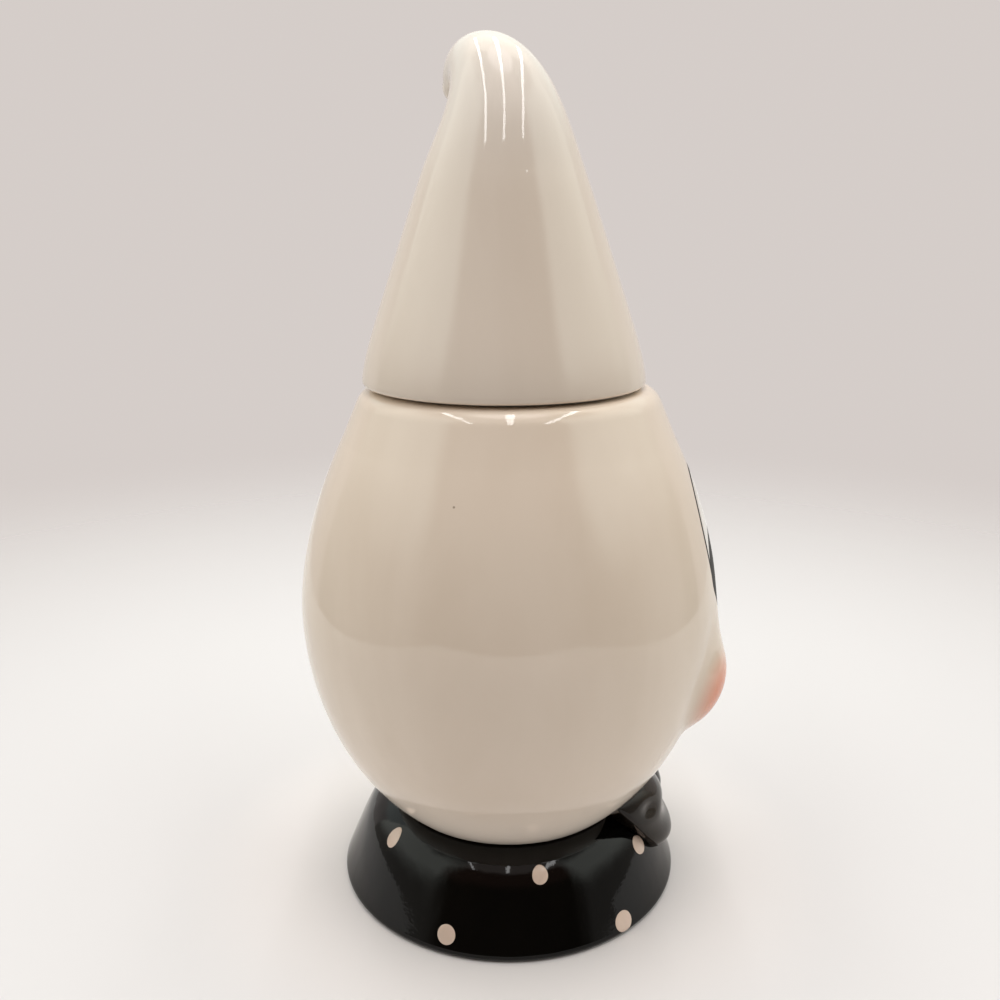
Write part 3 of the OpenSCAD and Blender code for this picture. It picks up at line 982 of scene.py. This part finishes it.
@dataclass
class Lid:
    """The white lid: a hollow swelling cone whose tip curls over, with a flange that plugs the mouth."""

    foot_z: float = 181.0
    width: float = 94.6
    set_back: float = 1.7
    foot_round: float = 1.5
    foot_steps: int = 6
    skirt: float = 6.6
    taper: float = 0.347
    curl_height: float = 67.0
    curl_turn: float = 140.0
    curl_ease: float = 25.0
    curl_heading: float = 20.0
    curl_grip: float = 2.5
    curl_step: float = 2.0
    curl_gap: float = 0.5
    tip_taper: float = 0.4
    tip_width: float = 10.0
    tip_turns: tuple[float, ...] = (12, 24, 36, 48, 60, 72, 83)
    taper_blend: float = 8.0
    wall: float = 5.0
    hollow_height: float = 57.0
    hollow_from: float = 2.0
    hollow_clear: float = 1.5
    dome_height: float = 6.6
    dome_turns: tuple[float, ...] = (10, 20, 30, 40, 50, 60, 70, 80)
    seat_flat: float = 3.0
    seat_round: float = 0.4
    flange_width: float = 73.2
    flange_depth: float = 12.0
    flange_wall: float = 4.0
    flange_round: float = 1.2
    bead_height: float = 2.0
    bead_proud: float = 1.2
    bead_root: float = 0.1
    bead_round: float = 0.6
    bore_round: float = 0.8
    shelf_flat: Span = (4.0, 6.0)
    shelf_step: float = 0.2
    shelf_round: float = 1.2
    segments: int = 200
    pitch: float = 1.1
    finer: int = 4

    def cone(self, h: float) -> float:
        """Gives the lid's radius at a height above its foot."""
        return self.width / 2 - self.taper * (h - self.skirt * (1 - math.exp(-h / self.skirt)))

    def radius(self, s: float) -> float:
        """Follows the cone and the steeper taper of the tip, eased into each other.

        Args:
            s: The length along the middle line.

        Returns:
            The radius there.
        """
        past = s - self.curl_height
        ramp = max(0.0, past)
        if abs(past) < self.taper_blend:
            ramp = (past + self.taper_blend) ** 2 / (4 * self.taper_blend)
        return self.cone(s) - (self.tip_taper - self.taper) * ramp

    def curl(self) -> list[tuple[float, float, float, float]]:
        """Walks the curl's middle line.

        Returns:
            Stations along it: reach to the side, height above the foot, lean in radians and radius.
        """
        start = self.curl_height
        below = [start - k * self.curl_step for k in (2, 1)]
        stations = [(0.0, s, 0.0, self.radius(s)) for s in below]
        s, reach, height, lean = start, 0.0, start, 0.0
        while self.radius(s) > self.tip_width / 2:
            stations.append((reach, height, lean, self.radius(s)))
            rate = min(1, (s - start + self.curl_step) / self.curl_ease) / (self.radius(s) + self.curl_grip)
            reach += self.curl_step * math.sin(lean)
            height += self.curl_step * math.cos(lean)
            lean = min(math.radians(self.curl_turn), lean + rate * self.curl_step)
            s += self.curl_step
        stations.append((reach, height, lean, self.radius(s)))
        return stations

    def curl_rings(self) -> list[np.ndarray]:
        """Lays rings along the curl.

        Returns:
            The rings of the curled tip, from the cone up to the rounded end.
        """
        walk = np.array(self.curl())
        smooth = []
        for k in range(1, len(walk) - 2):
            a, b, c, d = walk[k - 1], walk[k], walk[k + 1], walk[k + 2]
            for t in np.arange(self.finer) / self.finer:
                bend = (2 * a - 5 * b + 4 * c - d) * t + (3 * b - a - 3 * c + d) * t * t
                smooth.append(0.5 * (2 * b + (c - a + bend) * t))
        reach, height, lean, r = walk[-2]
        smooth.append(walk[-2])
        for turn in np.radians(self.tip_turns):
            out = r * math.sin(turn)
            middle = reach + out * math.sin(lean), height + out * math.cos(lean)
            smooth.append((*middle, lean, r * math.cos(turn)))
        angle = np.linspace(0, 2 * math.pi, self.segments, endpoint=False)
        turn = math.radians(self.curl_heading)
        rings = []
        for reach, height, lean, r in smooth:
            along = reach + r * np.cos(angle) * math.cos(lean)
            side = r * np.sin(angle)
            up = height - r * np.cos(angle) * math.sin(lean)
            x = along * math.cos(turn) - side * math.sin(turn)
            y = along * math.sin(turn) + side * math.cos(turn) + self.set_back
            rings.append(np.stack([x, y, up + self.foot_z], axis=1))
        return rings

    def level(self, r: float, h: float, shift: float) -> np.ndarray:
        """Gives a level ring of the lid, in step with the curl's rings.

        Args:
            r: The ring's radius.
            h: Its height above the foot.
            shift: How far it is set back along Y.

        Returns:
            The ring.
        """
        base = ring(r, self.foot_z + h, self.segments, shift)
        quarter = self.segments // 4
        return np.roll(base, -quarter - round(self.segments * self.curl_heading / 360), axis=0)

    def build(self) -> bpy.types.Object:
        """Builds the lid as one closed shell: from the tip down outside, round the flange and up the hollow.

        Returns:
            The lid.
        """
        tip = list(reversed(self.curl_rings()))
        low = self.foot_round
        heights = spaced(self.curl_height - self.curl_step - self.curl_gap, low, self.pitch)
        outside = [self.level(self.radius(h), h, self.set_back) for h in heights]
        for step in range(1, self.foot_steps + 1):
            turn = math.radians(90 * step / self.foot_steps)
            r = self.cone(low) - self.foot_round * (1 - math.cos(turn))
            outside.append(self.level(r, low * (1 - math.sin(turn)), self.set_back))
        flange, bore = self.flange_width / 2, self.flange_width / 2 - self.flange_wall
        bead = flange + self.bead_proud
        end = -self.flange_depth
        near, far = (bore + flat for flat in self.shelf_flat)
        plug = softened([
            (flange + self.seat_flat, 0.0, 0),
            (flange, 0.0, self.seat_round),
            (flange, end + self.bead_height, self.bead_root),
            (bead, end + self.bead_height, self.bead_round),
            (bead, end, self.bead_round),
            (bore, end, self.flange_round),
            (bore, self.wall, self.bore_round),
            (near, self.wall, 0),
        ])
        up = spaced(self.hollow_from, self.hollow_height, 2 * self.pitch)
        hollow = [set_in(self.cone, h, self.wall) for h in up]
        hollow = [(r, h) for r, h in hollow if h > self.wall + self.hollow_clear]
        r, h = hollow[-1]
        turns = np.radians(self.dome_turns)
        dome = [(r * math.cos(turn), h + self.dome_height * math.sin(turn)) for turn in turns]
        chamber = softened([
            (far, self.wall, 0),
            (hollow[0][0] + self.shelf_step, self.wall, self.shelf_round),
            *((a, b, 0) for a, b in hollow + dome),
        ])
        rings = tip + outside
        rings += [self.level(a, b, 0.0) for a, b in plug]
        rings += [self.level(a, b, self.set_back) for a, b in chamber]
        return skinned("lid", rings, looped=False)

    def dress(self, finish: bpy.types.Material) -> None:
        """Builds the lid and gives it its finish."""
        assign(self.build(), finish, Body.LID, Slot.LID, "lid_shell", "lid_curl")


@dataclass
class Seal:
    """The soft ring on the lid's flange: a sleeve with wiping lips and a thin washer in the seam."""

    rim_z: float = 180.0
    washer: float = 1.0
    washer_radius: float = 42.4
    washer_round: float = 0.25
    sleeve_z: float = 171.2
    sleeve_radius: float = 38.2
    sleeve_inner: float = 36.8
    sleeve_round: float = 0.3
    top_round: float = 0.4
    round_steps: int = 3
    seam_step: float = 0.1
    lip_radius: float = 38.9
    lip_count: int = 3
    lip_at: tuple[float, ...] = (0.25, 0.55, 0.67, 0.75)
    lip_rounds: tuple[float, ...] = (0.2, 0.12, 0.12, 0.15)
    segments: int = 200

    def build(self) -> bpy.types.Object:
        """Builds the seal as one closed ring.

        Returns:
            The seal.
        """
        top = self.rim_z + self.washer
        pitch = (self.rim_z - self.sleeve_z) / (self.lip_count + self.lip_at[0])
        across = (self.sleeve_radius, self.lip_radius, self.lip_radius, self.sleeve_radius)
        corners = [
            (self.sleeve_inner, self.rim_z, 0.0),
            (self.sleeve_inner, self.sleeve_z, self.sleeve_round),
            (self.sleeve_radius, self.sleeve_z, self.sleeve_round),
        ]
        for lip in range(self.lip_count):
            foot = self.sleeve_z + lip * pitch
            edges = zip(across, self.lip_at, self.lip_rounds)
            corners += [(r, foot + share * pitch, cut) for r, share, cut in edges]
        corners += [
            (self.sleeve_radius, self.rim_z, self.sleeve_round),
            (self.washer_radius, self.rim_z, self.washer_round),
            (self.washer_radius, top, self.washer_round),
            (self.sleeve_inner, top, self.top_round),
            (self.sleeve_inner, self.rim_z + self.seam_step, 0.0),
        ]
        outline = softened(corners, self.round_steps)
        return skinned("seal_ring", [ring(r, z, self.segments) for r, z in outline], looped=True)

    def dress(self, finish: bpy.types.Material) -> None:
        """Builds the seal and gives it its finish."""
        assign(self.build(), finish, Body.SEAL, Slot.SEAL, "lid_seal")


class Dot(NamedTuple):
    """One painted dot: its bearing and height, its size as a share and its tilt in degrees."""

    bearing: float
    z: float
    size: float
    tilt: float


@dataclass
class PolkaDots:
    """The painted dots of the collar: two staggered rows of slightly raised, uneven ovals."""

    collar: Collar
    upper_row: tuple[Dot, ...] = (
        Dot(-44.6, 21.0, 1.0, -20), Dot(-92.3, 24.9, 0.80, 5), Dot(-157.6, 25.6, 0.86, -6),
        Dot(138, 24.8, 0.90, -8), Dot(92, 24.4, 0.88, 10), Dot(44, 20.8, 1.0, 16),
    )
    lower_row: tuple[Dot, ...] = (
        Dot(-4, 6.2, 1.0, 0), Dot(-64, 4.5, 1.09, 6), Dot(-124.3, 6.8, 1.0, 0),
        Dot(155, 6.0, 1.02, -6), Dot(108, 6.6, 0.98, 12), Dot(56, 5.4, 1.04, -4),
    )
    width: float = 6.7
    height: float = 6.1
    flat_radius: float = 56.0
    relief: float = 0.12
    unevenness: float = 0.06
    segments: int = 36
    rings: int = 12
    seed: int = 7

    def tree(self, finish: bpy.types.Material) -> bpy.types.GeometryNodeTree:
        """Builds the tree that puts an oval on each point and wraps it round the collar.

        The points and ovals lie unrolled first: way round along X, height along Y, relief along Z.

        Args:
            finish: The dots' material.

        Returns:
            The node tree.
        """
        tree = bpy.data.node_groups.new("polka_dots", "GeometryNodeTree")
        tree.interface.new_socket("Geometry", in_out="INPUT", socket_type="NodeSocketGeometry")
        for name in self.sizes():
            tree.interface.new_socket(name, in_out="INPUT", socket_type="NodeSocketFloat")
        tree.interface.new_socket("Geometry", in_out="OUTPUT", socket_type="NodeSocketGeometry")
        graph = Graph(tree)
        given = graph.node("NodeGroupInput")

        def side_radius(z: Sock) -> Sock:
            """Follows the collar's side.

            Args:
                z: The height.

            Returns:
                The radius there.
            """
            share = (z - given["Foot Round"]) / (given["Neck Height"] - given["Foot Round"])
            share = graph.math("MAXIMUM", share, 0.0)
            turned = share ** self.collar.shoulder_turn * (given["Flare Radius"] - given["Neck Radius"])
            return given["Collar Radius"] - (given["Collar Radius"] - given["Flare Radius"]) * share - turned

        def own(name: str) -> Sock:
            """Gives a dot's own value."""
            made = graph.node("GeometryNodeInputNamedAttribute", {"Name": name}, data_type="FLOAT")
            return made["Attribute"]

        def uneven(seed: int) -> Sock:
            """Gives a random share near 1 for each dot."""
            limits = {2: 1 - self.unevenness, 3: 1 + self.unevenness, 8: seed}
            return graph.node("FunctionNodeRandomValue", limits, data_type="FLOAT")[1]

        spot = graph.parts(graph.node("GeometryNodeInputPosition")[0])
        wide = given["Dot Width"] * own("size") * uneven(self.seed)
        tall = given["Dot Height"] * own("size") * uneven(self.seed + 1)
        unrolled = wide * given["Flat Radius"] / (side_radius(spot[1]) * 2.0)
        ball = {"Segments": self.segments, "Rings": self.rings, "Radius": 1.0}
        placed = graph.node("GeometryNodeInstanceOnPoints", {
            "Points": given["Geometry"],
            "Instance": graph.node("GeometryNodeMeshUVSphere", ball)["Mesh"],
            "Rotation": graph.joined(0.0, 0.0, own("tilt")),
            "Scale": graph.joined(unrolled, tall / 2.0, given["Relief"]),
        })
        flat = graph.node("GeometryNodeRealizeInstances", {"Geometry": placed["Instances"]})
        round_way, z, lift = graph.parts(graph.node("GeometryNodeInputPosition")[0])
        bearing = round_way / given["Flat Radius"]
        r = side_radius(z) + lift * given["Outward"]
        wrapped = graph.joined(
            r * graph.math("SINE", bearing),
            -(r * graph.math("COSINE", bearing)),
            z + lift * given["Upward"],
        )
        bent = graph.node("GeometryNodeSetPosition", {"Geometry": flat["Geometry"], "Position": wrapped})
        smooth = graph.node("GeometryNodeSetShadeSmooth", {"Geometry": bent["Geometry"]})
        single = graph.node("GeometryNodeRealizeInstances", {"Geometry": smooth["Geometry"]})
        painted = graph.node("GeometryNodeSetMaterial", {"Geometry": single["Geometry"], "Material": finish})
        graph.node("NodeGroupOutput", {0: painted["Geometry"]})
        return tree

    def sizes(self) -> dict[str, float]:
        """Works out the tree's named inputs.

        Returns:
            Sizes in metres, and the two parts of the direction square to the collar's side.
        """
        fall = (self.collar.width - self.collar.flare_width) / 2
        slope = math.atan2(fall, self.collar.neck_z - self.collar.foot_round)
        return {
            "Dot Width": self.width * MM,
            "Dot Height": self.height * MM,
            "Relief": self.relief * MM,
            "Collar Radius": self.collar.width / 2 * MM,
            "Flare Radius": self.collar.flare_width / 2 * MM,
            "Flat Radius": self.flat_radius * MM,
            "Neck Radius": self.collar.neck_width / 2 * MM,
            "Neck Height": self.collar.neck_z * MM,
            "Foot Round": self.collar.foot_round * MM,
            "Outward": math.cos(slope),
            "Upward": math.sin(slope),
        }

    def build(self, finish: bpy.types.Material) -> bpy.types.Object:
        """Builds all dots as one mesh.

        Args:
            finish: The dots' material.

        Returns:
            The dots.
        """
        dots = self.upper_row + self.lower_row
        seedbed = bpy.data.meshes.new("dot_centres")
        around = [math.radians(dot.bearing) * self.flat_radius for dot in dots]
        seedbed.from_pydata([(x * MM, dot.z * MM, 0.0) for x, dot in zip(around, dots)], [], [])
        own = {"size": [dot.size for dot in dots], "tilt": [math.radians(dot.tilt) for dot in dots]}
        for name, values in own.items():
            seedbed.attributes.new(name, "FLOAT", "POINT").data.foreach_set("value", values)
        planned = new_object("dot_centres", seedbed)
        modifier = planned.modifiers.new("polka_dots", "NODES")
        tree = self.tree(finish)
        sizes = self.sizes()
        modifier.node_group = tree
        for item in tree.interface.items_tree:
            if item.in_out == "INPUT" and item.name in sizes:
                modifier[item.identifier] = sizes[item.name]
        evaluated = planned.evaluated_get(bpy.context.evaluated_depsgraph_get())
        mesh = bpy.data.meshes.new_from_object(evaluated)
        bpy.data.objects.remove(planned)
        return new_object("polka_dots", mesh)

    def dress(self, finish: bpy.types.Material) -> None:
        """Builds the dots and gives them their finish."""
        assign(self.build(finish), finish, Body.JAR, Slot.WHITE)


@dataclass(frozen=True)
class Wall:
    """One side of the surround: its light low, half way up and high, and the elevations where it changes."""

    low: Colour
    middle: Colour
    high: Colour
    lower_edge: Span
    upper_edge: Span

    def above(self, graph: Graph, up: Sock, edge: Span) -> Sock:
        """Rises from 0 to 1 where a direction's elevation passes an edge."""
        return graph.ease(up, *(math.sin(math.radians(side)) for side in edge))

    def light(self, graph: Graph, up: Sock) -> Sock:
        """Gives the light by how far a direction points up.

        Args:
            graph: The world's graph.
            up: The direction's upward part, the sine of its elevation.

        Returns:
            The light's colour.
        """
        light = graph.mix(self.above(graph, up, self.lower_edge), self.low, self.middle)
        return graph.mix(self.above(graph, up, self.upper_edge), light, self.high)


@dataclass
class Studio:
    """The table, the surround, three tube lamps overhead and the camera."""

    camera_place: tuple[float, float, float] = (-0.32505, 0.08104, 0.232)
    camera_pitch: float = 15.4
    camera_bearing: float = 256.0
    lens: float = 36.0
    sensor: float = 36.0
    shift: float = -0.009
    table_radius: float = 0.80
    table_segments: int = 128
    table_fade: Span = (0.20, 0.768)
    table_near: float = 0.62
    table_side: float = 0.43
    table_colour: Colour = (0.69, 0.68, 0.695)
    # painted light: a paler table colour within 75 mm of the axis, fading out by 125 mm, lifting the shade
    # round the canister
    table_painted_light: Colour = (0.77, 0.745, 0.75)
    table_painted_light_reach: Span = (0.125, 0.075)
    table_cut: Span = (0.99, 1.01)
    table_roughness: float = 0.55
    table_ior: float = 1.3
    backdrop_colour: Colour = (0.665, 0.612, 0.585)
    in_front: Wall = Wall((0.05, 0.04, 0.03), (0.18, 0.10, 0.08), (0.76, 0.645, 0.60), (18, 32), (46, 54))
    beside: Wall = Wall((0.36, 0.34, 0.31), (1.57, 1.63, 1.50), (0.25, 0.24, 0.22), (2, 30), (46, 62))
    behind: Wall = Wall((0.68, 0.63, 0.60), (0.86, 0.94, 0.91), (1.50, 1.46, 1.30), (14, 26), (38, 52))
    zenith: Colour = (2.4, 2.2, 2.15)
    zenith_edge: Span = (0.95, 0.975)
    front_edge: Span = (57, 42)
    behind_edge: Span = (120, 122)
    level_least: float = 0.001
    clutter: float = 0.16
    clutter_scale: float = 5.0
    clutter_detail: float = 3.0
    tube_count: int = 3
    tube_height: float = 1.07
    tube_length: float = 1.5
    tube_nearer: float = 0.082
    tube_width: float = 0.058
    tube_spacing: float = 0.42
    tube_splay: float = 7.5
    tube_stagger: float = 0.05
    tube_power: float = 2.05

    def heading(self) -> Vector:
        """Gives the level direction in which the camera looks."""
        turn = math.radians(self.camera_bearing)
        return Vector((-math.sin(turn), math.cos(turn), 0.0))

    def camera(self) -> None:
        """Sets up the camera."""
        data = bpy.data.cameras.new("camera")
        data.lens, data.sensor_width, data.shift_x = self.lens, self.sensor, self.shift
        made = new_object("camera", data)
        pitch = math.radians(self.camera_pitch)
        look = self.heading() * math.cos(pitch) - Vector((0, 0, math.sin(pitch)))
        made.location = self.camera_place
        made.rotation_euler = look.to_track_quat("-Z", "Y").to_euler()
        bpy.context.scene.camera = made

    def table(self) -> None:
        """Lays the table, which fades into the backdrop far out and is painted paler round the canister as
        painted light; its own edges show only in the glaze.
        """
        work = bmesh.new()
        bmesh.ops.create_circle(work, cap_ends=True, segments=self.table_segments, radius=self.table_radius)
        mesh = bpy.data.meshes.new("table")
        work.to_mesh(mesh)
        work.free()
        made = new_object("table", mesh)
        material, graph, at = new_material("pale_table")
        ahead = self.heading()
        far = graph.node("ShaderNodeVectorMath", {0: at}, operation="LENGTH")["Value"]
        near = graph.along(at, tuple(-ahead))
        aside = graph.along(at, tuple(ahead.cross(Vector((0, 0, 1)))))
        over = graph.math("MAXIMUM", near / self.table_near, abs(aside) / self.table_side)
        glossy = graph.node("ShaderNodeLightPath")["Is Glossy Ray"]
        gone = graph.ease(far, *self.table_fade) * (1.0 - glossy) + graph.ease(over, *self.table_cut) * glossy
        board = graph.node("ShaderNodeBsdfPrincipled", {
            # painted light: paler near the canister, standing in for light in its shade
            "Base Color": graph.mix(graph.ease(far, *self.table_painted_light_reach), self.table_colour, self.table_painted_light),
            "Roughness": self.table_roughness,
            "IOR": self.table_ior,
        })
        clear = graph.node("ShaderNodeBsdfTransparent")
        both = graph.node("ShaderNodeMixShader", {0: gone, 1: board["BSDF"], 2: clear["BSDF"]})
        graph.node("ShaderNodeOutputMaterial", {"Surface": both["Shader"]})
        mesh.materials.append(material)

    def surround(self) -> None:
        """Makes the surround: an even backdrop for the camera, and three walls for light and gloss.

        The walls are a pale screen behind the object, bright windows on both hands and a dark room on the
        camera's side. Glossy rays see the even backdrop only where it stands, low behind the object.
        """
        world = bpy.data.worlds.new("surround")
        bpy.context.scene.world = world
        world.use_nodes = True
        graph = Graph(world.node_tree)
        way = graph.node("ShaderNodeTexCoord")["Generated"]
        up = graph.parts(way)[2]
        level = graph.math("SQRT", graph.math("MAXIMUM", 1.0 - up * up, self.level_least))
        turned = graph.along(way, tuple(-self.heading())) / level

        def zone(edge: Span) -> Sock:
            """Rises from 0 to 1 where a direction's angle from the camera's side passes an edge."""
            return graph.ease(turned, *(math.cos(math.radians(side)) for side in edge))

        uneven = up + (graph.noise(way, self.clutter_scale, self.clutter_detail) - 0.5) * self.clutter
        light = self.beside.light(graph, uneven)
        light = graph.mix(zone(self.front_edge), light, self.in_front.light(graph, uneven))
        screen = zone(self.behind_edge)
        light = graph.mix(screen, light, self.behind.light(graph, up))
        light = graph.mix(graph.ease(up, *self.zenith_edge), light, self.zenith)
        path = graph.node("ShaderNodeLightPath")
        low = 1.0 - self.behind.above(graph, up, self.behind.lower_edge)
        seen = graph.math("MAXIMUM", path["Is Camera Ray"], path["Is Transmission Ray"])
        seen = graph.math("MAXIMUM", seen, path["Is Glossy Ray"] * screen * low)
        colour = graph.mix(seen, light, self.backdrop_colour)
        shine = graph.node("ShaderNodeBackground", {"Color": colour, "Strength": 1.0})
        graph.node("ShaderNodeOutputWorld", {"Surface": shine["Background"]})

    def tubes(self) -> None:
        """Hangs the tube lamps side by side, along the camera's heading."""
        ahead = self.heading()
        sideways = ahead.cross(Vector((0, 0, 1)))
        for index in range(self.tube_count):
            data = bpy.data.lights.new(f"tube_{index + 1}", "AREA")
            data.shape = "RECTANGLE"
            data.size, data.size_y = self.tube_width, self.tube_length
            data.energy = self.tube_power
            made = new_object(data.name, data)
            place = index - (self.tube_count - 1) / 2
            nearer = self.tube_nearer + (0.5 - abs(place)) * 2 * self.tube_stagger
            where = sideways * place * self.tube_spacing - ahead * nearer
            made.location = where + Vector((0, 0, self.tube_height))
            turn = math.atan2(ahead.y, ahead.x) - math.pi / 2 + math.radians(self.tube_splay) * place
            made.rotation_euler = (0, 0, turn)

    def build(self) -> None:
        """Sets up camera, table, surround and lamps."""
        self.camera()
        self.table()
        self.surround()
        self.tubes()
        bpy.context.scene.view_settings.view_transform = "Standard"


def main() -> None:
    """Builds the canister's pieces in order and dresses them."""
    logging.basicConfig(level=logging.INFO, format="%(message)s")
    Studio().build()
    cream, warm, iron = (0.84, 0.738, 0.640), (0.80, 0.694, 0.593), (0.42, 0.33, 0.25)
    # painted light: the face glaze turns paler on the head's underside, from 64 mm down to 38 mm, standing in
    # for light bounced up from the table
    face_glaze = FaceGlaze(
        "face_glaze",
        (0.84, 0.722, 0.608),
        (0.79, 0.670, 0.553),
        iron,
        painted_light=(0.97, 0.865, 0.755),
        painted_light_between=(64.0, 38.0),
    ).make()
    # painted light: the lid glaze turns paler towards the curled tip, from 236 mm up to 282 mm, standing in
    # for overhead light on the crest
    lid_glaze = Glaze(
        "plain_white_glaze", cream, warm, iron, painted_light=(0.90, 0.82, 0.745), painted_light_between=(236.0, 282.0)
    ).make()
    soot, umber, ash = (0.0016, 0.0014, 0.0013), (0.003, 0.0025, 0.002), (0.03, 0.027, 0.025)
    black_glaze = Glaze(
        "soot_glaze", soot, umber, ash,
        gloss=0.05, dulled=0.06, ior=1.33, ripple_scale=60.0, ripple=0.35, pinhole_share=0.03,
    ).make()
    brown, rust = (0.008, 0.0055, 0.0035), (0.030, 0.022, 0.015)
    bow_glaze = Glaze(
        "bow_glaze", brown, rust, ash, gloss=0.13, dulled=0.12, ior=1.32, ripple_scale=70.0, ripple=0.5
    ).make()
    chalk, cream_dot, speck = (0.75, 0.595, 0.50), (0.65, 0.51, 0.42), (0.3, 0.22, 0.17)
    enamel = Glaze("dot_enamel", chalk, cream_dot, speck, gloss=0.16, cloud_scale=120.0).make()
    silicone = Silicone().make()

    head, collar = Head(), Collar()
    head.dress(face_glaze)
    collar.dress(black_glaze)
    Bow(head, collar).dress(bow_glaze)
    PolkaDots(collar).dress(enamel)
    Lid().dress(lid_glaze)
    Seal().dress(silicone)


if __name__ == "__main__":
    main()
